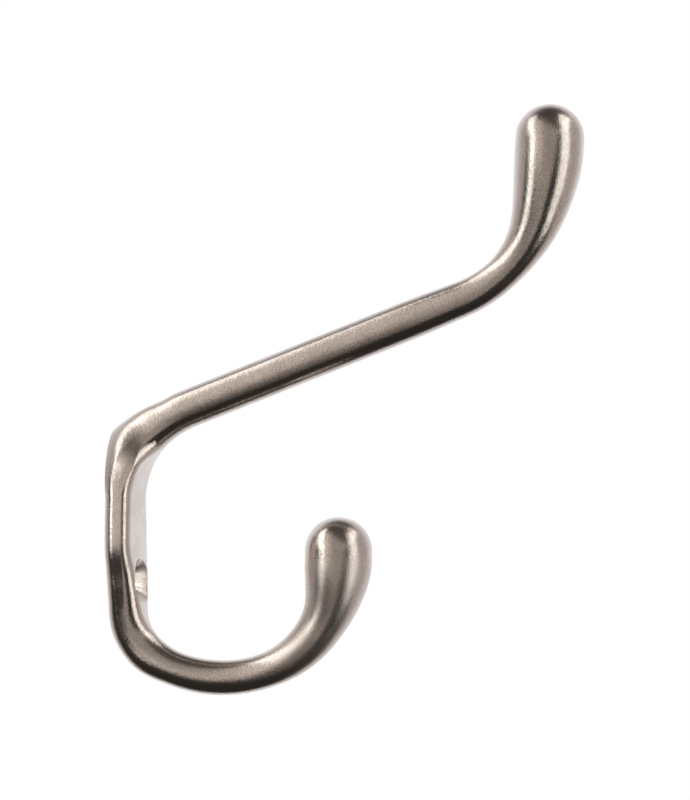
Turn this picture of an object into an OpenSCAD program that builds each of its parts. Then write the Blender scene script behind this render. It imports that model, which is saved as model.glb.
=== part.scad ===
// Garment hook: one casting with a rising upper arm, a wall plate and a lower J hook.
// +X points away from the wall and +Z up. The origin is where the screw hole meets the wall.

/* [Wall plate] */
// Thickness of the plate above the screw hole
plate_t = 5.1; // [4.5:0.1:7]
// Width of the plate at its widest
plate_w = 14.8; // [14.1:0.1:18]
// Rounding of the plate's edges
edge_r = 2.5; // [1:0.1:3]
// Distance of the centre line from the wall
line_x = 3; // [2:0.1:3.6]
// Depth that the wall plane takes off the back, to leave it flat
wall_cut = 0.2; // [0.1:0.05:0.5]
// Height of its widest place above the screw hole
broad_z = 7; // [5:0.5:13]
// Thickness of the plate at the screw hole
hole_t = 5.8; // [5:0.1:7]
// Width of the plate at the screw hole
hole_w = 11.8; // [11:0.1:14]
// Straight run of the plate above the screw hole
plate_rise = 15.5; // [14:0.1:24]
// Width of the plate at the top of that run
rise_w = 14; // [12:0.1:14]
// Straight run of the plate below the screw hole
plate_drop = 6; // [5:0.1:12]

/* [Screw hole] */
// Diameter of the screw hole
hole_d = 4.2; // [3:0.1:5]
// Diameter of the countersink at its mouth
sink_d = 8.8; // [7:0.1:9]
// Included angle of the countersink
sink_angle = 82; // [80:1:100]

/* [Shoulder] */
// Bend radius of the centre line between the plate and the arm
shoulder_r = 19; // [15:0.1:24]
// Share of that bend, from the plate, at which the shoulder's corner stands out most
corner_share = 0.32; // [0.25:0.01:0.5]
// Reach of the corner behind the centre line, before the wall plane cuts it off
corner_reach = 7.6; // [5.5:0.1:9]
// Width of the shoulder at its corner
corner_w = 13.4; // [8:0.1:14]
// Thickness of the shoulder in front of the centre line at its corner
corner_t = 2.4; // [2:0.1:4]
// Depth of the corner's upright side behind the centre line
corner_side = 1.8; // [0:0.1:2.5]
// Shape of the corner from there to its ridge: 1 is round, and more is a steeper gable
corner_peak = 1.5; // [1:0.05:1.8]
// Share of the bend at which the shoulder has drawn in to the arm's root
root_share = 0.63; // [0.55:0.01:0.75]
// Width of the root
root_w = 7.8; // [7:0.1:10]
// Thickness of the root in front of the centre line
root_t = 3.6; // [3:0.1:4.5]
// Reach of the root behind the centre line
root_reach = 5.3; // [4:0.1:6.5]
// Length of the bend that is left where the shoulder has become round
round_left = 2.7; // [0:0.1:6]

/* [Upper arm] */
// Rise of the straight arm above level
arm_angle = 21; // [10:0.1:35]
// Length of the straight arm between its two bends
arm_len = 58.8; // [40:0.1:80]
// Diameter of the arm
arm_d = 7.5; // [6:0.1:9]
// Diameter of the arm at its thinnest place
neck_d = 6.6; // [5:0.1:8]
// Distance of the thinnest place past the start of the upturn
neck_past = 8.5; // [4:0.5:12]
// Length over which the arm thins to that place
neck_run = 21; // [10:0.5:30]
// Bend radius of the upturn's centre line
upturn_r = 25; // [18:0.5:35]
// Lean of the centre line at the end of the upturn, from level
upturn_angle = 74; // [60:0.5:80]
// Bend radius of the knob's centre line
upper_lean_r = 59; // [40:1:90]
// Lean of the centre line at the knob's ball, from level
upper_knob_angle = 88; // [82:0.5:95]
// Diameter of the upper knob
upper_knob_d = 13.2; // [11:0.1:16]
// Length of the upper knob at its full diameter, before its ball
upper_knob_len = 2.2; // [1:0.1:4]

/* [Lower hook] */
// Bend radius of the centre line at the heel, below the plate
heel_r = 11.3; // [9:0.1:16]
// Turn of the heel
heel_turn = 62.5; // [45:0.5:70]
// Share of that bend, from the plate, at which the heel stands out most
heel_share = 0.7; // [0.4:0.01:0.8]
// Thickness of the hook there
heel_t = 7.7; // [6:0.1:9]
// Width of the hook there
heel_w = 6.5; // [6:0.1:9]
// Length over which the heel dies out in the cradle
heel_run = 8; // [5:0.5:12]
// Bend radius of the cradle's centre line
cradle_r = 27.7; // [18:0.1:34]
// Lean of the centre line at the end of the cradle, from level
cradle_angle = 21; // [5:0.5:30]
// Diameter of the hook where it is thinnest
hook_d = 6.8; // [6:0.1:9]
// Bend radius of the lift's centre line, between the cradle and the knob
lift_r = 20.9; // [15:0.1:30]
// Lean of the centre line at the end of the lift, from level
lift_angle = 76.5; // [60:0.5:80]
// Bend radius of the lower knob's centre line
lower_lean_r = 35; // [20:1:60]
// Lean of the centre line at the lower knob's ball, from level
lower_knob_angle = 90.5; // [84:0.5:100]
// Length over which the hook swells to its knob
swell_run = 30; // [24:0.5:34]
// Length of the last, steeper part of that swell
flare_run = 13.5; // [8:0.5:18]
// Diameter of the hook where the steeper part starts
flare_d = 8.7; // [8:0.1:10]
// Diameter of the lower knob
lower_knob_d = 13; // [11:0.1:16]
// Length of the lower knob at its full diameter, before its ball
lower_knob_len = 2.2; // [1:0.1:4]

/* [Smoothness] */
// Sides of the round section
sides = 32; // [16:4:48]
// Distance between rings on the curved parts
ring_pitch = 1.7; // [1.2:0.1:3]
// Rings in each ball end
ball_rings = 7; // [5:1:10]
// Sides of the screw hole
hole_sides = 64; // [24:4:96]

/* [Hidden] */

// Extra length that keeps a cutting shape clear of the faces it passes through
over = 1;
// Change of heading or size below which a stretch counts as straight and even
even = 0.01;
finish_color = [0.66, 0.60, 0.54];

// The centre line is walked from the screw hole in moves of [length, turn], up to the upper knob
// and down to the lower one.
function bend(radius, turn) = [radius * abs(turn) * PI / 180, turn];
UP = [
    [plate_rise, 0],
    bend(shoulder_r, arm_angle - 90),
    [arm_len, 0],
    bend(upturn_r, upturn_angle - arm_angle),
    bend(upper_lean_r, upper_knob_angle - upturn_angle)
];
DOWN = [
    [plate_drop, 0],
    bend(heel_r, heel_turn),
    bend(cradle_r, 90 + cradle_angle - heel_turn),
    bend(lift_r, lift_angle - cradle_angle),
    bend(lower_lean_r, lower_knob_angle - lift_angle)
];

// Distance along the centre line at the end of each move.
function run(moves, count) = count == 0 ? 0 : moves[count - 1][0] + run(moves, count - 1);
arm_start = run(UP, 2);
arm_end = run(UP, 3);
upper_end = run(UP, 5);
heel_at = -(run(DOWN, 1) + heel_share * DOWN[1][0]);
lower_end = -run(DOWN, 5);
swell_end = lower_end + lower_knob_len;
corner_at = plate_rise + corner_share * (arm_start - plate_rise);
root_at = plate_rise + root_share * (arm_start - plate_rise);

// The back of the plate lies wall_cut behind the wall plane, which cuts it flat.
back_t = line_x + wall_cut;

// Sections along the centre line. Each holds its distance from the screw hole, upwards positive, and its
// half width. Then, for the front and for the back, come the thickness from the line, how much of that is
// flat at the side, and the half width of the flat face. What isn't flat is rounded, and at the back it is
// drawn in to a ridge by the last value, the peak.
function size_at(distance, half_w, front, back, peak = 1) = concat([distance, half_w], front, back, [peak]);
function edged(t, half_w) = [t, max(0, t - edge_r), max(0, half_w - edge_r)];
function rounded(t, side = 0) = [t, side, 0];
function oval_at(distance, t, w) = size_at(distance, w / 2, rounded(t / 2), rounded(t / 2));
function round_at(distance, d) = oval_at(distance, d, d);
function flat_at(distance, t, w) = size_at(distance, w / 2, edged(t - line_x, w / 2), edged(back_t, w / 2));
SECTIONS = [
    round_at(lower_end, lower_knob_d),
    round_at(swell_end, lower_knob_d),
    round_at(swell_end + flare_run, flare_d),
    round_at(swell_end + swell_run, hook_d),
    round_at(heel_at - heel_run, hook_d),
    oval_at(heel_at, heel_t, heel_w),
    flat_at(0, hole_t, hole_w),
    flat_at(broad_z, plate_t, plate_w),
    flat_at(plate_rise, plate_t, rise_w),
    size_at(
        corner_at,
        corner_w / 2,
        edged(corner_t, corner_w / 2),
        rounded(corner_reach, corner_side),
        corner_peak
    ),
    size_at(root_at, root_w / 2, rounded(root_t), rounded(root_reach)),
    round_at(arm_start - round_left, arm_d),
    round_at(arm_end + neck_past - neck_run, arm_d),
    round_at(arm_end + neck_past, neck_d),
    round_at(upper_end - upper_knob_len, upper_knob_d),
    round_at(upper_end, upper_knob_d)
];

// Pose [x, z, heading] at a share of one move.
function step(pose, move, share = 1) =
    let (length = move[0] * share, turn = move[1] * share, heading = pose[2], end = heading + turn)
    turn == 0
        ? [pose[0] + length * cos(heading), pose[1] + length * sin(heading), heading]
        : let (r = length / turn * 180 / PI)
          [pose[0] + r * (sin(end) - sin(heading)), pose[1] - r * (cos(end) - cos(heading)), end];

// Pose at a distance along a list of moves.
function walk(pose, moves, distance, i = 0) =
    i == len(moves) - 1 || distance <= moves[i][0]
        ? step(pose, moves[i], distance / moves[i][0])
        : walk(step(pose, moves[i]), moves, distance - moves[i][0], i + 1);

// Pose of the centre line, heading from the lower knob to the upper one.
function centre(distance) =
    distance >= 0
        ? walk([line_x, 0, 90], UP, distance)
        : walk([line_x, 0, -90], DOWN, -distance) + [0, 0, 180];

// Slope of the sections' sizes between neighbours, and at one section. A size that turns back or levels
// off there has no slope, so that it never overshoots.
function rise(i) = (SECTIONS[i + 1] - SECTIONS[i]) / (SECTIONS[i + 1][0] - SECTIONS[i][0]);
function blend(a, b) = a * b > 0 ? 2 * a * b / (a + b) : 0;
function slope(i) =
    let (before = rise(max(i - 1, 0)), after = rise(min(i, len(SECTIONS) - 2)))
    [for (k = [0 : len(before) - 1]) blend(before[k], after[k])];

// Section at a distance, on a smooth curve through the sections on both sides of it.
function section(distance, i = 0) =
    let (
        a = SECTIONS[i],
        b = SECTIONS[i + 1],
        length = b[0] - a[0],
        t = (distance - a[0]) / length,
        ease = t * t * (3 - 2 * t)
    )
    i < len(SECTIONS) - 2 && distance > b[0]
        ? section(distance, i + 1)
        : a + (b - a) * ease + length * t * (1 - t) * (slope(i) * (1 - t) - slope(i + 1) * t);

// Ring of points at a distance. In a ball end the ring shrinks and moves along the heading.
function ring(distance, shrink = 1, along = 0) =
    let (pose = centre(distance), size = section(distance), heading = pose[2])
    [for (i = [0 : sides - 1])
        let (
            angle = (i + 0.5) * 360 / sides,
            half_w = size[1],
            face = sin(angle) > 0 ? [size[2], size[3], size[4], 1] : [size[5], size[6], size[7], size[8]],
            forth = face[1] + pow(abs(sin(angle)), face[3]) * (face[0] - face[1]),
            aside = face[2] + pow(abs(cos(angle)), face[3]) * (half_w - face[2]),
            front = shrink * sign(sin(angle)) * forth,
            across = shrink * sign(cos(angle)) * aside
        )
        [
            pose[0] + front * sin(heading) + along * cos(heading),
            across,
            pose[1] - front * cos(heading) + along * sin(heading)
        ]];

// Rings of a ball end that leave its widest ring, outwards along the heading when side is 1.
function ball(distance, d, side) =
    [for (i = [1 : ball_rings - 1])
        let (lift = 90 * i / ball_rings)
        ring(distance, cos(lift), side * d / 2 * sin(lift))];

// Distances of the rings: one step on a plain straight, even short steps elsewhere.
function plain(a, b) =
    abs(centre(a[0])[2] - centre(b[0])[2]) < even
    && norm([for (i = [1 : len(a) - 1]) a[i] - b[i]]) < even;
RING_AT = [
    for (i = [0 : len(SECTIONS) - 2])
        let (
            a = SECTIONS[i],
            b = SECTIONS[i + 1],
            length = b[0] - a[0],
            steps = plain(a, b) ? 1 : ceil(length / ring_pitch)
        )
        for (j = [0 : steps - 1]) a[0] + length * j / steps,
    upper_end
];

// Tip of a ball end.
function tip(distance, d, side) =
    let (pose = centre(distance))
    [pose[0] + side * d / 2 * cos(pose[2]), 0, pose[1] + side * d / 2 * sin(pose[2])];

// Skin of the whole casting: rings from the lower ball to the upper one, closed by the two tips.
module casting() {
    low_ball = ball(lower_end, lower_knob_d, -1);
    rings = concat(
        [for (i = [len(low_ball) - 1 : -1 : 0]) low_ball[i]],
        [for (distance = RING_AT) ring(distance)],
        ball(upper_end, upper_knob_d, 1)
    );
    points = concat(
        [for (one = rings) each one],
        [tip(lower_end, lower_knob_d, -1), tip(upper_end, upper_knob_d, 1)]
    );
    last = (len(rings) - 1) * sides;
    low_tip = len(rings) * sides;
    high_tip = low_tip + 1;
    polyhedron(
        points,
        [
            for (i = [0 : len(rings) - 2], j = [0 : sides - 1])
                let (a = i * sides + j, b = i * sides + (j + 1) % sides)
                each [[a, b, b + sides], [a, b + sides, a + sides]],
            for (j = [0 : sides - 1])
                let (next = (j + 1) % sides)
                each [[low_tip, next, j], [high_tip, last + j, last + next]]
        ]
    );
}

// Space behind the wall plane.
module wall() {
    span = 2 * (plate_rise + plate_drop + shoulder_r + heel_r);
    translate([-span, -span / 2, -span / 2])
        cube(span);
}

// Screw hole through the plate, with its countersink in front.
module screw_hole() {
    slope = tan(sink_angle / 2);
    sink_depth = (sink_d - hole_d) / 2 / slope;
    rotate([0, 90, 0]) {
        translate([0, 0, -over])
            cylinder(d = hole_d, h = hole_t + over, $fn = hole_sides);
        translate([0, 0, hole_t - sink_depth])
            cylinder(d1 = hole_d, d2 = sink_d + 2 * over * slope, h = sink_depth + over, $fn = hole_sides);
    }
}

module garment_hook() {
    color(finish_color)
        difference() {
            casting();
            wall();
            screw_hole();
        }
}

garment_hook();
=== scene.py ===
"""Garment hook in satin nickel: one casting with a rising arm, a wall plate and a lower hook."""

import logging
import math
from dataclasses import dataclass, field
from enum import Enum
from functools import cached_property
from typing import Optional, Union

import bmesh
import bpy
import numpy as np
from mathutils import Matrix, Vector


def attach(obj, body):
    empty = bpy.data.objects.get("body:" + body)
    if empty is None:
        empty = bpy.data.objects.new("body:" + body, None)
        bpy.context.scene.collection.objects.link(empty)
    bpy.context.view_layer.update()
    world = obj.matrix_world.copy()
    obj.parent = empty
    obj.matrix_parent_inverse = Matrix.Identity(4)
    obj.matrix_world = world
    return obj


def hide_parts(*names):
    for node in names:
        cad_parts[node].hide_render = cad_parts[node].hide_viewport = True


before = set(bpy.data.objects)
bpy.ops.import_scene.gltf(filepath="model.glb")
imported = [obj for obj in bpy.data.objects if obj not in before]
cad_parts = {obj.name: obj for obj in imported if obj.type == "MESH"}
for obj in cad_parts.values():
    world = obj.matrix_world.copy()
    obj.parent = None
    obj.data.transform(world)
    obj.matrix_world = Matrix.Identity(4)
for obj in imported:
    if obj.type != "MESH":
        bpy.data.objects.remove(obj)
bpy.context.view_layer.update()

MM = 0.001
QUARTER_TURN = 90.0

log = logging.getLogger("garment_hook")

Number = Union[int, float]
Colour = tuple[float, float, float]
Limits = tuple[float, float]
Bearing = tuple[float, float]

WHITE: Colour = (1.0, 1.0, 1.0)
OUT = Vector((1.0, 0.0, 0.0))
UP = Vector((0.0, 0.0, 1.0))


@dataclass(frozen=True)
class Signal:
    """A shader value whose arithmetic adds Math nodes to its graph."""

    graph: "Graph"
    socket: bpy.types.NodeSocket

    def __add__(self, other: "Operand") -> "Signal":
        """Sum of two values."""
        return self.graph.maths("ADD", self, other)

    __radd__ = __add__

    def __mul__(self, other: "Operand") -> "Signal":
        """Product of two values."""
        return self.graph.maths("MULTIPLY", self, other)

    __rmul__ = __mul__


Operand = Union[Signal, Number]
SocketValue = Union[Signal, Number, tuple]


@dataclass(frozen=True)
class Noise:
    """Noise pattern: the size of its features in metres, and how many finer layers it has."""

    size: float
    layers: float


@dataclass(frozen=True)
class Graph:
    """Builder of a material's or the world's nodes."""

    tree: bpy.types.NodeTree

    def node(
        self,
        kind: str,
        settings: Optional[dict] = None,
        inputs: Optional[dict] = None,
    ) -> bpy.types.Node:
        """Adds one node.

        Args:
            kind: Type of the node, without its ShaderNode prefix.
            settings: Properties to set before the sockets.
            inputs: Values or links of the sockets, by name or number.

        Returns:
            The new node.
        """
        made = self.tree.nodes.new("ShaderNode" + kind)
        for name, value in (settings or {}).items():
            setattr(made, name, value)
        for key, value in (inputs or {}).items():
            if isinstance(value, Signal):
                self.tree.links.new(value.socket, made.inputs[key])
            else:
                made.inputs[key].default_value = value
        return made

    def signal(
        self,
        kind: str,
        settings: Optional[dict] = None,
        inputs: Optional[dict] = None,
        output: Union[int, str] = 0,
    ) -> Signal:
        """Adds one node, as node does, and gives one of its outputs, by name or number."""
        return Signal(self, self.node(kind, settings, inputs).outputs[output])

    def maths(self, operation: str, first: Operand, second: Operand) -> Signal:
        """Result of a Math node's operation on two values."""
        return self.signal("Math", {"operation": operation}, {0: first, 1: second})

    def ramp(self, value: Signal, limits: Limits, low: float = 0.0, high: float = 1.0) -> Signal:
        """Smooth step of a value.

        Args:
            value: What to step.
            limits: Values at which the step starts and ends.
            low: Result before the step.
            high: Result after it.

        Returns:
            The stepped value.
        """
        start, end = limits
        inputs = {"Value": value, "From Min": start, "From Max": end, "To Min": low, "To Max": high}
        return self.signal("MapRange", {"interpolation_type": "SMOOTHSTEP"}, inputs)

    def along(self, place: Signal, axis: Vector) -> Signal:
        """How far a place or a direction lies along an axis."""
        inputs = {0: place, 1: tuple(axis)}
        return self.signal("VectorMath", {"operation": "DOT_PRODUCT"}, inputs, "Value")

    def mix(self, share: Signal, first: SocketValue, second: SocketValue) -> Signal:
        """Mix of two colours.

        Args:
            share: Share of the second colour.
            first: Colour at a share of 0.
            second: Colour at a share of 1.

        Returns:
            The mixed colour.
        """
        factor, first_colour, second_colour, result = 0, 6, 7, 2
        inputs = {factor: share, first_colour: first, second_colour: second}
        return self.signal("Mix", {"data_type": "RGBA"}, inputs, result)

    def noise(self, place: Signal, pattern: Noise) -> Signal:
        """Height of a noise pattern at a place, from 0 to 1."""
        inputs = {"Vector": place, "Scale": 1 / pattern.size, "Detail": pattern.layers}
        return self.signal("TexNoise", inputs=inputs)

    def relief(self, height: Signal, depth: float, below: Optional[Signal] = None) -> Signal:
        """Raises a pattern on a surface.

        Args:
            height: Height of the pattern, from 0 to 1.
            depth: Its whole depth in metres.
            below: Normal of the surface below it, where that has a relief of its own.

        Returns:
            The normal of the raised surface.
        """
        inputs = {"Strength": 1.0, "Distance": depth, "Height": height}
        if below is not None:
            inputs["Normal"] = below
        return self.signal("Bump", inputs=inputs)


def opaque(colour: Colour) -> tuple[float, float, float, float]:
    """Colour with full alpha, as a socket takes it."""
    return (*colour, 1.0)


@dataclass(frozen=True)
class SatinNickel:
    """Satin nickel plate on a casting: warm grey metal with fine cast grain, duller under the lower knob.

    Lengths are in metres. The dull stretch fades in between two limits of x and between two of z.
    """

    name: str = "satin_nickel"
    bright_colour: Colour = (0.72, 0.655, 0.59)
    worn_colour: Colour = (0.56, 0.50, 0.44)
    roughness: float = 0.16
    roughness_spread: float = 0.06
    dull_roughness: float = 0.12
    dull_x: Limits = (0.026, 0.04)
    dull_z: Limits = (0.007, 0.0025)
    cloud: Noise = Noise(0.006, 3.0)
    cloud_limits: Limits = (0.3, 0.7)
    cloud_share: float = 0.4
    grain: Noise = Noise(0.00032, 2.0)
    grain_limits: Limits = (0.34, 0.66)
    grain_depth: float = 0.000032
    peel: Noise = Noise(0.0011, 2.0)
    peel_depth: float = 0.00002

    def material(self) -> bpy.types.Material:
        """Makes the finish.

        Returns:
            The material.
        """
        made = bpy.data.materials.new(self.name)
        made.use_nodes = True
        made.node_tree.nodes.clear()
        graph = Graph(made.node_tree)
        place = graph.signal("TexCoord", output="Object")
        cloud = graph.ramp(graph.noise(place, self.cloud), self.cloud_limits)
        grain = graph.noise(place, self.grain)
        speck = graph.ramp(grain, self.grain_limits)
        wear = cloud * self.cloud_share + speck * (1 - self.cloud_share)
        out, up = graph.along(place, OUT), graph.along(place, UP)
        dull = graph.ramp(out, self.dull_x) * graph.ramp(up, self.dull_z)
        peel = graph.relief(graph.noise(place, self.peel), self.peel_depth)
        shader = graph.signal(
            "BsdfPrincipled",
            inputs={
                "Base Color": graph.mix(wear, opaque(self.bright_colour), opaque(self.worn_colour)),
                "Roughness": self.roughness + cloud * self.roughness_spread + dull * self.dull_roughness,
                "Metallic": 1.0,
                "Normal": graph.relief(grain, self.grain_depth, peel),
            },
        )
        graph.node("OutputMaterial", inputs={"Surface": shader})
        return made


@dataclass(frozen=True)
class Pose:
    """Point of the centre line in the hook's middle plane, with its heading in radians."""

    x: float
    z: float
    heading: float


@dataclass(frozen=True)
class Move:
    """One stretch of the centre line: straight, or an even bend of so many radians."""

    length: float
    turn: float = 0.0

    @classmethod
    def bend(cls, radius: float, degrees: float) -> "Move":
        """Bend of a radius through an angle in degrees."""
        turn = math.radians(degrees)
        return cls(radius * abs(turn), turn)

    def follow(self, start: Pose, length: float) -> Pose:
        """Pose after some length of this stretch.

        Args:
            start: Pose at its start.
            length: How far to go along it.

        Returns:
            The pose there.
        """
        turn = self.turn * length / self.length
        chord = length * (math.sin(turn / 2) / (turn / 2) if turn else 1.0)
        middle = start.heading + turn / 2
        return Pose(
            start.x + chord * math.cos(middle),
            start.z + chord * math.sin(middle),
            start.heading + turn,
        )


class KnobEnd(Enum):
    """Which end of the casting a knob closes, as the sign of the way out along the centre line."""

    LOWER = -1
    UPPER = 1


@dataclass(frozen=True)
class Face:
    """Front or back of a section, in millimetres from the centre line."""

    thickness: float
    flat_side: float = 0.0
    flat_width: float = 0.0

    @property
    def values(self) -> list[float]:
        """All sizes in one list."""
        return [self.thickness, self.flat_side, self.flat_width]


@dataclass(frozen=True)
class Section:
    """Section of the casting at a distance up the centre line from the screw hole, in millimetres.

    The peak is the power that draws the back to a gable. It is 1 where the back is round.
    """

    distance: float
    half_width: float
    front: Face
    back: Face
    peak: float = 1.0

    @classmethod
    def oval(cls, distance: float, thickness: float, width: float) -> "Section":
        """Oval section, as thick in front of the centre line as behind it."""
        face = Face(thickness / 2)
        return cls(distance, width / 2, face, face)

    @classmethod
    def round(cls, distance: float, diameter: float) -> "Section":
        """Plain round section."""
        return cls.oval(distance, diameter, diameter)

    @property
    def values(self) -> list[float]:
        """All sizes in one list, to blend with those of other sections."""
        return [self.half_width, *self.front.values, *self.back.values, self.peak]


@dataclass(frozen=True)
class WallPlate:
    """Flat-backed plate that the screw holds to the wall, in millimetres."""

    thickness: float = 5.1
    width: float = 14.8
    edge_r: float = 2.5
    line_x: float = 3.0
    wall_cut: float = 0.2
    broad_z: float = 7.0
    hole_thickness: float = 5.8
    hole_width: float = 11.8
    rise: float = 15.5
    rise_width: float = 14.0
    drop: float = 6.0

    def edged(self, thickness: float, half_width: float) -> Face:
        """Flat face with rounded edges."""
        return Face(thickness, max(0.0, thickness - self.edge_r), max(0.0, half_width - self.edge_r))

    def flat(self, distance: float, thickness: float, width: float) -> Section:
        """Section of the plate, flat in front and behind.

        Args:
            distance: Its place along the centre line.
            thickness: Thickness from the wall.
            width: Whole width.

        Returns:
            The section.
        """
        front = self.edged(thickness - self.line_x, width / 2)
        back = self.edged(self.line_x + self.wall_cut, width / 2)
        return Section(distance, width / 2, front, back)


@dataclass(frozen=True)
class ScrewHole:
    """Countersunk hole through the plate, in millimetres and degrees.

    Its rims are rounded by rim_r at most. Short edges near it hold that to a few thousandths of a millimetre.
    """

    diameter: float = 4.2
    sink_diameter: float = 8.8
    sink_angle: float = 82.0
    rim_r: float = 0.18
    rim_segments: int = 3
    over: float = 1.0
    steps: int = 96
    merge: float = 0.001

    def cutter(self, thickness: float) -> bpy.types.Object:
        """Turns the shape of the hole about its axis.

        Args:
            thickness: Thickness of the plate at the hole.

        Returns:
            The turned solid, a little longer than the hole.
        """
        slope = math.tan(math.radians(self.sink_angle / 2))
        sink_depth = (self.sink_diameter - self.diameter) / 2 / slope
        outline = [
            (-self.over, 0.0),
            (-self.over, self.diameter / 2),
            (thickness - sink_depth, self.diameter / 2),
            (thickness + self.over, self.sink_diameter / 2 + self.over * slope),
            (thickness + self.over, 0.0),
        ]
        bm = bmesh.new()
        verts = [bm.verts.new((x * MM, 0.0, r * MM)) for x, r in outline]
        edges = [bm.edges.new(pair) for pair in zip(verts, verts[1:])]
        bmesh.ops.spin(
            bm,
            geom=verts + edges,
            cent=(0.0, 0.0, 0.0),
            axis=OUT,
            angle=math.tau,
            steps=self.steps,
            use_merge=True,
        )
        bmesh.ops.remove_doubles(bm, verts=bm.verts[:], dist=self.merge * MM)
        bmesh.ops.recalc_face_normals(bm, faces=bm.faces[:])
        return new_object("screw_hole_cutter", bm)


@dataclass(frozen=True)
class Shoulder:
    """Bend from the plate into the arm, with its corner at the wall, in millimetres."""

    radius: float = 19.0
    corner_share: float = 0.32
    corner_reach: float = 7.6
    corner_width: float = 13.4
    corner_thickness: float = 2.4
    corner_side: float = 1.8
    corner_peak: float = 1.5
    root_share: float = 0.63
    root_width: float = 7.8
    root_thickness: float = 3.6
    root_reach: float = 5.3
    round_left: float = 2.7


@dataclass(frozen=True)
class UpperArm:
    """Rising arm with its upturned knob, in millimetres and degrees."""

    angle: float = 21.0
    length: float = 58.8
    diameter: float = 7.5
    neck_diameter: float = 6.6
    neck_past: float = 8.5
    neck_run: float = 21.0
    upturn_r: float = 25.0
    upturn_angle: float = 74.0
    lean_r: float = 59.0
    knob_angle: float = 88.0
    knob_diameter: float = 13.2
    knob_length: float = 2.2


@dataclass(frozen=True)
class LowerHook:
    """J-shaped hook below the plate with its knob, in millimetres and degrees."""

    heel_r: float = 11.3
    heel_turn: float = 62.5
    heel_share: float = 0.7
    heel_thickness: float = 7.7
    heel_width: float = 6.5
    heel_run: float = 8.0
    cradle_r: float = 27.7
    cradle_angle: float = 21.0
    diameter: float = 6.8
    lift_r: float = 20.9
    lift_angle: float = 76.5
    lean_r: float = 35.0
    knob_angle: float = 90.5
    swell_run: float = 30.0
    flare_run: float = 13.5
    flare_diameter: float = 8.7
    knob_diameter: float = 13.0
    knob_length: float = 2.2


def new_object(name: str, bm: bmesh.types.BMesh) -> bpy.types.Object:
    """Puts a finished bmesh in the scene.

    Args:
        name: Name of the object.
        bm: The mesh, which is freed.

    Returns:
        The object, at the origin.
    """
    mesh = bpy.data.meshes.new(name)
    bm.to_mesh(mesh)
    bm.free()
    made = bpy.data.objects.new(name, mesh)
    bpy.context.scene.collection.objects.link(made)
    return made


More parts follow.
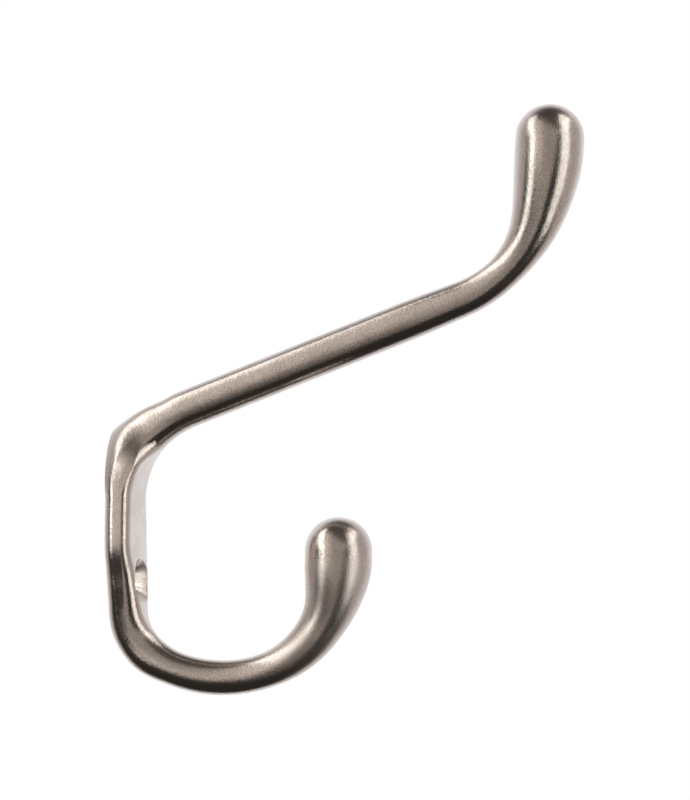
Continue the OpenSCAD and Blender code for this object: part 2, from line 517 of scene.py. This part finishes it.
@dataclass
class GarmentHook:
    """The whole casting: a section swept along a bent centre line, cut flat at the wall and drilled.

    Lengths are in millimetres and the crease is in degrees.
    """

    plate: WallPlate = field(default_factory=WallPlate)
    hole: ScrewHole = field(default_factory=ScrewHole)
    shoulder: Shoulder = field(default_factory=Shoulder)
    arm: UpperArm = field(default_factory=UpperArm)
    hook: LowerHook = field(default_factory=LowerHook)
    sides: int = 80
    ring_pitch: float = 0.8
    ball_rings: int = 14
    cut_limit: float = 0.0001
    flat_limit: float = 0.001
    crease: float = 32.0

    @cached_property
    def upward(self) -> list[Move]:
        """Centre line above the screw hole.

        Returns:
            Its stretches, from the hole to the upper knob.
        """
        arm = self.arm
        return [
            Move(self.plate.rise),
            Move.bend(self.shoulder.radius, arm.angle - QUARTER_TURN),
            Move(arm.length),
            Move.bend(arm.upturn_r, arm.upturn_angle - arm.angle),
            Move.bend(arm.lean_r, arm.knob_angle - arm.upturn_angle),
        ]

    @cached_property
    def downward(self) -> list[Move]:
        """Centre line below the screw hole.

        Returns:
            Its stretches, from the hole to the lower knob.
        """
        hook = self.hook
        return [
            Move(self.plate.drop),
            Move.bend(hook.heel_r, hook.heel_turn),
            Move.bend(hook.cradle_r, QUARTER_TURN + hook.cradle_angle - hook.heel_turn),
            Move.bend(hook.lift_r, hook.lift_angle - hook.cradle_angle),
            Move.bend(hook.lean_r, hook.knob_angle - hook.lift_angle),
        ]

    @cached_property
    def sections(self) -> list[Section]:
        """Sections that the casting passes through.

        Returns:
            The sections, from the lower knob to the upper one.
        """
        plate, shoulder, arm, hook = self.plate, self.shoulder, self.arm, self.hook
        _, shoulder_end, arm_end, _, upper_knob = np.cumsum([move.length for move in self.upward])
        _, heel_end, _, _, lower_knob = np.cumsum([move.length for move in self.downward])
        corner = plate.rise + shoulder.corner_share * (shoulder_end - plate.rise)
        corner_front = plate.edged(shoulder.corner_thickness, shoulder.corner_width / 2)
        corner_back = Face(shoulder.corner_reach, shoulder.corner_side)
        root = plate.rise + shoulder.root_share * (shoulder_end - plate.rise)
        root_faces = Face(shoulder.root_thickness), Face(shoulder.root_reach)
        neck = arm_end + arm.neck_past
        heel = -(plate.drop + hook.heel_share * (heel_end - plate.drop))
        swell_end = hook.knob_length - lower_knob
        return [
            Section.round(-lower_knob, hook.knob_diameter),
            Section.round(swell_end, hook.knob_diameter),
            Section.round(swell_end + hook.flare_run, hook.flare_diameter),
            Section.round(swell_end + hook.swell_run, hook.diameter),
            Section.round(heel - hook.heel_run, hook.diameter),
            Section.oval(heel, hook.heel_thickness, hook.heel_width),
            plate.flat(0.0, plate.hole_thickness, plate.hole_width),
            plate.flat(plate.broad_z, plate.thickness, plate.width),
            plate.flat(plate.rise, plate.thickness, plate.rise_width),
            Section(corner, shoulder.corner_width / 2, corner_front, corner_back, shoulder.corner_peak),
            Section(root, shoulder.root_width / 2, *root_faces),
            Section.round(shoulder_end - shoulder.round_left, arm.diameter),
            Section.round(neck - arm.neck_run, arm.diameter),
            Section.round(neck, arm.neck_diameter),
            Section.round(upper_knob - arm.knob_length, arm.knob_diameter),
            Section.round(upper_knob, arm.knob_diameter),
        ]

    @cached_property
    def stations(self) -> tuple[np.ndarray, np.ndarray, np.ndarray]:
        """Sections as numbers to blend. A size that turns back or levels off has no slope.

        Returns:
            Distances, sizes and slopes of the sections.
        """
        at = np.array([section.distance for section in self.sections])
        sizes = np.array([section.values for section in self.sections])
        rise = np.diff(sizes, axis=0) / np.diff(at)[:, None]
        before, after = np.vstack([rise[:1], rise]), np.vstack([rise, rise[-1:]])
        product, total = before * after, before + after
        slopes = np.where(product > 0, 2 * product / np.where(total == 0, 1.0, total), 0.0)
        return at, sizes, slopes

    def sizes_at(self, distance: float) -> np.ndarray:
        """Sizes of the section at a distance, on a smooth curve through the stations.

        Args:
            distance: Distance along the centre line.

        Returns:
            The sizes, in the order of Section.values.
        """
        at, sizes, slopes = self.stations
        i = int(np.clip(np.searchsorted(at, distance) - 1, 0, len(at) - 2))
        length = at[i + 1] - at[i]
        t = (distance - at[i]) / length
        ease = t * t * (3 - 2 * t)
        bow = length * t * (1 - t) * (slopes[i] * (1 - t) - slopes[i + 1] * t)
        return sizes[i] + (sizes[i + 1] - sizes[i]) * ease + bow

    def pose_at(self, distance: float) -> Pose:
        """Pose of the centre line, heading from the lower knob to the upper one.

        Args:
            distance: Distance from the screw hole, upwards positive.

        Returns:
            The pose there.
        """
        moves = self.upward if distance >= 0 else self.downward
        pose = Pose(self.plate.line_x, 0.0, math.copysign(math.pi / 2, distance))
        left = abs(distance)
        for move in moves[:-1]:
            if left <= move.length:
                break
            pose = move.follow(pose, move.length)
            left -= move.length
        else:
            move = moves[-1]
        pose = move.follow(pose, left)
        return pose if distance >= 0 else Pose(pose.x, pose.z, pose.heading + math.pi)

    def ring(
        self,
        bm: bmesh.types.BMesh,
        distance: float,
        shrink: float = 1.0,
        along: float = 0.0,
        tip: Optional[float] = None,
    ) -> list[bmesh.types.BMEdge]:
        """Adds one ring of the skin.

        Args:
            bm: The casting's mesh.
            distance: Place of the ring along the centre line.
            shrink: Share of the section's size, less than 1 in a ball end.
            along: Shift along the heading.
            tip: Shift of the point that closes the ring, for the last ring of a ball.

        Returns:
            The ring's edges.
        """
        pose = self.pose_at(distance)
        half_width, *faces, peak = self.sizes_at(distance)
        front_face, back_face = (*faces[:3], 1.0), (*faces[3:], peak)
        lengthways = Vector((math.cos(pose.heading), 0.0, math.sin(pose.heading)))
        forwards = Vector((math.sin(pose.heading), 0.0, -math.cos(pose.heading)))
        middle = Vector((pose.x, 0.0, pose.z))
        radius, closed = 1.0, tip is not None
        made = bmesh.ops.create_circle(bm, cap_ends=closed, cap_tris=True, segments=self.sides, radius=radius)
        rim = set()
        for vert in made["verts"]:
            across, front, _ = vert.co
            if math.hypot(across, front) < radius / 2:
                vert.co = (middle + lengthways * tip) * MM
                continue
            rim.add(vert)
            thickness, flat_side, flat_width, power = front_face if front > 0 else back_face
            forth = flat_side + abs(front) ** power * (thickness - flat_side)
            aside = flat_width + abs(across) ** power * (half_width - flat_width)
            front, across = math.copysign(forth, front), math.copysign(aside, across)
            place = middle + lengthways * along + forwards * front * shrink
            vert.co = (place + Vector((0.0, across * shrink, 0.0))) * MM
        return list({edge for vert in rim for edge in vert.link_edges if edge.other_vert(vert) in rim})

    def ball(self, bm: bmesh.types.BMesh, end: KnobEnd) -> list[list[bmesh.types.BMEdge]]:
        """Adds the rings of a ball end, from its widest to its tip.

        Args:
            bm: The casting's mesh.
            end: Which knob the ball closes.

        Returns:
            The rings' edges, in that order.
        """
        section = self.sections[0 if end is KnobEnd.LOWER else -1]
        reach = end.value * section.half_width
        rings = []
        for i in range(1, self.ball_rings):
            lift = math.pi / 2 * i / self.ball_rings
            tip = reach if i == self.ball_rings - 1 else None
            rings.append(self.ring(bm, section.distance, math.cos(lift), reach * math.sin(lift), tip))
        return rings

    def skin(self) -> bmesh.types.BMesh:
        """Sweeps the section from the lower ball to the upper one.

        Returns:
            The closed skin.
        """
        bm = bmesh.new()
        at = self.stations[0]
        rings = self.ball(bm, KnobEnd.LOWER)[::-1]
        for start, end in zip(at, at[1:]):
            steps = math.ceil((end - start) / self.ring_pitch)
            rings += [self.ring(bm, place) for place in np.linspace(start, end, steps, endpoint=False)]
        rings.append(self.ring(bm, at[-1]))
        rings += self.ball(bm, KnobEnd.UPPER)
        for one, other in zip(rings, rings[1:]):
            bmesh.ops.bridge_loops(bm, edges=one + other)
        bmesh.ops.recalc_face_normals(bm, faces=bm.faces[:])
        return bm

    def cut_at_wall(self, bm: bmesh.types.BMesh) -> None:
        """Cuts the casting flat at the wall plane.

        Args:
            bm: The casting's mesh.
        """
        cut = bmesh.ops.bisect_plane(
            bm,
            geom=bm.verts[:] + bm.edges[:] + bm.faces[:],
            dist=self.cut_limit * MM,
            plane_co=(0.0, 0.0, 0.0),
            plane_no=OUT,
            clear_inner=True,
        )
        rim = [part for part in cut["geom_cut"] if isinstance(part, bmesh.types.BMEdge)]
        bmesh.ops.edgeloop_fill(bm, edges=rim)
        bmesh.ops.recalc_face_normals(bm, faces=bm.faces[:])

    def drill(self, casting: bpy.types.Object) -> None:
        """Cuts the screw hole through the casting.

        Args:
            casting: The casting's object.
        """
        cutter = self.hole.cutter(self.plate.hole_thickness)
        cut = casting.modifiers.new("screw_hole", "BOOLEAN")
        cut.object = cutter
        cut.solver = "EXACT"
        evaluated = casting.evaluated_get(bpy.context.evaluated_depsgraph_get())
        drilled = bpy.data.meshes.new_from_object(evaluated)
        casting.modifiers.clear()
        casting.data = drilled
        bpy.data.objects.remove(cutter)

    def soften(self, casting: bpy.types.Object) -> None:
        """Breaks the edges near the screw hole and shades the casting smooth, apart from its flat back.

        Args:
            casting: The casting's object.
        """
        bm = bmesh.new()
        bm.from_mesh(casting.data)
        reach, flat = self.hole.sink_diameter * MM, self.flat_limit * MM
        crease = math.radians(self.crease)
        rims = [
            edge
            for edge in bm.edges
            if edge.is_manifold
            and edge.calc_face_angle() > crease
            and all(math.hypot(vert.co.y, vert.co.z) < reach for vert in edge.verts)
        ]
        bmesh.ops.bevel(
            bm,
            geom=rims,
            offset=self.hole.rim_r * MM,
            offset_type="OFFSET",
            affect="EDGES",
            segments=self.hole.rim_segments,
            profile=0.5,
            material=-1,
            clamp_overlap=True,
        )
        back = {face for face in bm.faces if all(abs(vert.co.x) < flat for vert in face.verts)}
        for face in bm.faces:
            face.smooth = face not in back
        for edge in bm.edges:
            bends = edge.calc_face_angle(0.0) > crease
            edge.smooth = not bends and len(back.intersection(edge.link_faces)) != 1
        bm.to_mesh(casting.data)
        bm.free()

    def build(self) -> bpy.types.Object:
        """Makes the casting.

        Returns:
            Its object, still without a finish.
        """
        bm = self.skin()
        self.cut_at_wall(bm)
        casting = new_object("garment_hook_casting", bm)
        self.drill(casting)
        self.soften(casting)
        return casting

    def dress(self, casting: bpy.types.Object, finish: SatinNickel) -> None:
        """Plates the casting and sets it in the frame.

        Args:
            casting: The casting's object.
            finish: Its finish.
        """
        casting.data.materials.clear()
        casting.data.materials.append(finish.material())
        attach(casting, "root")
        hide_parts("garment_hook")


@dataclass(frozen=True)
class Edge:
    """Smooth edge between two levels of light in what the hook mirrors.

    A direction's place across the edge is how far it points to the camera's right, up and towards the camera,
    each times its weight here. The level changes between the two limits of that place.
    """

    limits: Limits
    right: float = 0.0
    up: float = 0.0
    near: float = 0.0
    before: float = 0.0
    after: float = 1.0


@dataclass(frozen=True)
class Mirrored:
    """Direction that the hook mirrors, by its parts to the camera's right, up and towards the camera."""

    graph: Graph
    right: Signal
    up: Signal
    near: Signal

    def level(self, edge: Edge) -> Signal:
        """Level of light in this direction.

        Args:
            edge: The edge between the two levels.

        Returns:
            The level.
        """
        weighted = ((edge.right, self.right), (edge.up, self.up), (edge.near, self.near))
        place = sum(weight * part for weight, part in weighted if weight)
        return self.graph.ramp(place, edge.limits, edge.before, edge.after)


@dataclass(frozen=True)
class Surroundings:
    """What the hook mirrors: a dim room in front, and walls that brighten to the white backdrop behind."""

    backdrop_colour: Colour = (1.0, 1.0, 1.05)
    wall_colour: Colour = (0.52, 0.465, 0.47)
    room_colour: Colour = (0.72, 0.65, 0.62)
    dark_colour: Colour = (0.03, 0.027, 0.025)
    room_bottom: Edge = Edge((-1.0, -0.58), right=1.0, up=1.0)
    room_right: Edge = Edge((0.33, 0.42), right=1.0, up=-0.6, before=1.0, after=0.0)
    room_top: Edge = Edge((0.5, 0.85), right=0.5, up=1.0, before=1.0, after=0.2)
    room_left: Edge = Edge((-0.62, -0.3), right=1.0, before=1.0, after=0.5)
    wall_bottom: Edge = Edge((-0.65, -0.3), right=0.25, up=1.0, near=-0.8)
    wall_top: Edge = Edge((0.6, 0.95), up=1.0, before=1.0, after=0.1)
    backdrop_edge: Edge = Edge((-0.95, -0.15), near=1.0, before=1.0, after=0.0)
    front_edge: Edge = Edge((0.2, 0.4), right=-0.25, near=1.0)

    def shade(self, way: Mirrored) -> Signal:
        """Colour of the surroundings.

        Args:
            way: Direction to look in.

        Returns:
            The colour there.
        """
        mix, level = way.graph.mix, way.level
        dark = opaque(self.dark_colour)
        sides = level(self.room_left) * level(self.room_right)
        room = mix(sides * level(self.room_bottom) * level(self.room_top), dark, opaque(self.room_colour))
        walls = mix(level(self.backdrop_edge), opaque(self.wall_colour), opaque(self.backdrop_colour))
        behind = mix(level(self.wall_bottom) * level(self.wall_top), dark, walls)
        return mix(level(self.front_edge), behind, room)


@dataclass(frozen=True)
class Arch:
    """Softbox bent into an arch.

    Its corners are in degrees to the camera's right and up. Its width is in metres. A level of 1 is white.
    """

    corners: tuple[Bearing, ...]
    width: float
    level: float


class Lamp(Enum):
    """The studio's two softboxes, which rise beside the camera and lean back over the hook."""

    LEFT = Arch(((-60.0, -18.0), (-55.0, 0.0), (-72.0, 28.0), (-112.0, 55.0)), 0.34, 1.5)
    RIGHT = Arch(((52.0, -38.0), (52.0, 36.0), (105.0, 56.0)), 0.48, 1.3)


@dataclass(frozen=True)
class Studio:
    """Camera, lamps, white backdrop and pale floor, in metres and degrees."""

    target: tuple[float, float, float] = (0.04387, 0.01151, 0.03497)
    azimuth: float = 14.7
    elevation: float = 0.0
    distance: float = 0.9
    focal_px: float = 4590.0
    image_height_px: float = 800.0
    sensor_height_mm: float = 36.0
    floor_z: float = -0.85
    floor_radius: float = 4.0
    floor_sides: int = 96
    floor_fade: Limits = (0.5, 1.4)
    floor_colour: Colour = (0.86, 0.86, 0.85)
    lamp_distance: float = 1.0
    surroundings: Surroundings = field(default_factory=Surroundings)

    def direction(self, azimuth: float, elevation: float) -> Vector:
        """Direction from the hook, by the angles round the photograph's camera.

        Args:
            azimuth: Angle to the right of the camera.
            elevation: Angle above it.

        Returns:
            The unit direction.
        """
        turn, lift = math.radians(self.azimuth + azimuth), math.radians(elevation)
        level = math.cos(lift)
        return Vector((math.sin(turn) * level, -math.cos(turn) * level, math.sin(lift)))

    def camera(self) -> None:
        """Sets the camera at the photograph's angle."""
        data = bpy.data.cameras.new("photo_camera")
        data.sensor_fit = "VERTICAL"
        data.sensor_height = self.sensor_height_mm
        data.lens = self.sensor_height_mm * self.focal_px / self.image_height_px
        made = bpy.data.objects.new("photo_camera", data)
        bpy.context.scene.collection.objects.link(made)
        back = self.direction(0.0, self.elevation)
        made.location = Vector(self.target) + back * self.distance
        made.rotation_euler = (-back).to_track_quat("-Z", "Y").to_euler()
        bpy.context.scene.camera = made

    def lamp(self, name: str, low: Vector, high: Vector, arch: Arch) -> None:
        """Hangs one straight panel of a softbox.

        Args:
            name: Name of the panel.
            low: Direction of its lower end.
            high: Direction of its upper end.
            arch: The softbox.
        """
        towards, lengthways = (low + high).normalized(), (high - low).normalized()
        length = 2 * self.lamp_distance * math.tan(low.angle(high) / 2)
        data = bpy.data.lights.new(name, "AREA")
        data.shape = "RECTANGLE"
        data.size, data.size_y = arch.width, length
        data.energy = arch.level * math.pi * arch.width * length
        made = bpy.data.objects.new(name, data)
        bpy.context.scene.collection.objects.link(made)
        made.location = Vector(self.target) + towards * self.lamp_distance
        turned = Matrix((lengthways.cross(towards), lengthways, towards)).transposed()
        made.rotation_euler = turned.to_euler()
        made.visible_camera = False

    def softbox(self, lamp: Lamp) -> None:
        """Hangs the panels of one softbox.

        Args:
            lamp: Which softbox.
        """
        corners = [self.direction(*corner) for corner in lamp.value.corners]
        for number, (low, high) in enumerate(zip(corners, corners[1:])):
            self.lamp(f"{lamp.name.lower()}_softbox_{number}", low, high, lamp.value)

    def backdrop(self) -> None:
        """Sets a world that is white to the camera, and that the hook mirrors as its surroundings."""
        world = bpy.data.worlds.new("studio")
        bpy.context.scene.world = world
        world.use_nodes = True
        world.node_tree.nodes.clear()
        graph = Graph(world.node_tree)
        way = graph.signal("TexCoord", output="Generated")
        axes = self.direction(QUARTER_TURN, 0.0), UP, self.direction(0.0, 0.0)
        mirrored = Mirrored(graph, *(graph.along(way, axis) for axis in axes))
        seen = graph.signal("LightPath", output="Is Camera Ray")
        around = graph.signal("Background", inputs={"Color": self.surroundings.shade(mirrored)})
        white = graph.signal("Background", inputs={"Color": opaque(WHITE)})
        surface = graph.signal("MixShader", inputs={0: seen, 1: around, 2: white})
        graph.node("OutputWorld", inputs={"Surface": surface})

    def floor(self) -> None:
        """Lays a pale floor that keeps the hook's shadow and fades to the white backdrop."""
        bm = bmesh.new()
        place = Matrix.Translation((self.target[0], 0.0, self.floor_z))
        bmesh.ops.create_circle(
            bm,
            cap_ends=True,
            segments=self.floor_sides,
            radius=self.floor_radius,
            matrix=place,
        )
        made = new_object("floor", bm)
        material = bpy.data.materials.new("pale_floor")
        material.use_nodes = True
        material.node_tree.nodes.clear()
        graph = Graph(material.node_tree)
        spot = graph.signal("TexCoord", output="Object")
        away = graph.signal("VectorMath", {"operation": "LENGTH"}, {0: spot}, "Value")
        seen = graph.signal("LightPath", output="Is Camera Ray")
        fade = graph.ramp(away, self.floor_fade) * seen
        paint = graph.signal("BsdfDiffuse", inputs={"Color": opaque(self.floor_colour)})
        white = graph.signal("Emission", inputs={"Color": opaque(WHITE)})
        mixed = graph.signal("MixShader", inputs={0: fade, 1: paint, 2: white})
        graph.node("OutputMaterial", inputs={"Surface": mixed})
        made.data.materials.append(material)
        made.visible_glossy = False

    def build(self) -> None:
        """Sets up the whole studio."""
        bpy.context.scene.view_settings.view_transform = "Standard"
        self.camera()
        self.backdrop()
        self.floor()
        for lamp in Lamp:
            self.softbox(lamp)


def main() -> None:
    """Builds the hook and its studio and reports the piece."""
    logging.basicConfig(level=logging.INFO)
    Studio().build()
    hook = GarmentHook()
    casting = hook.build()
    hook.dress(casting, SatinNickel())
    log.info("%s: %d faces", casting.name, len(casting.data.polygons))


if __name__ == "__main__":
    main()
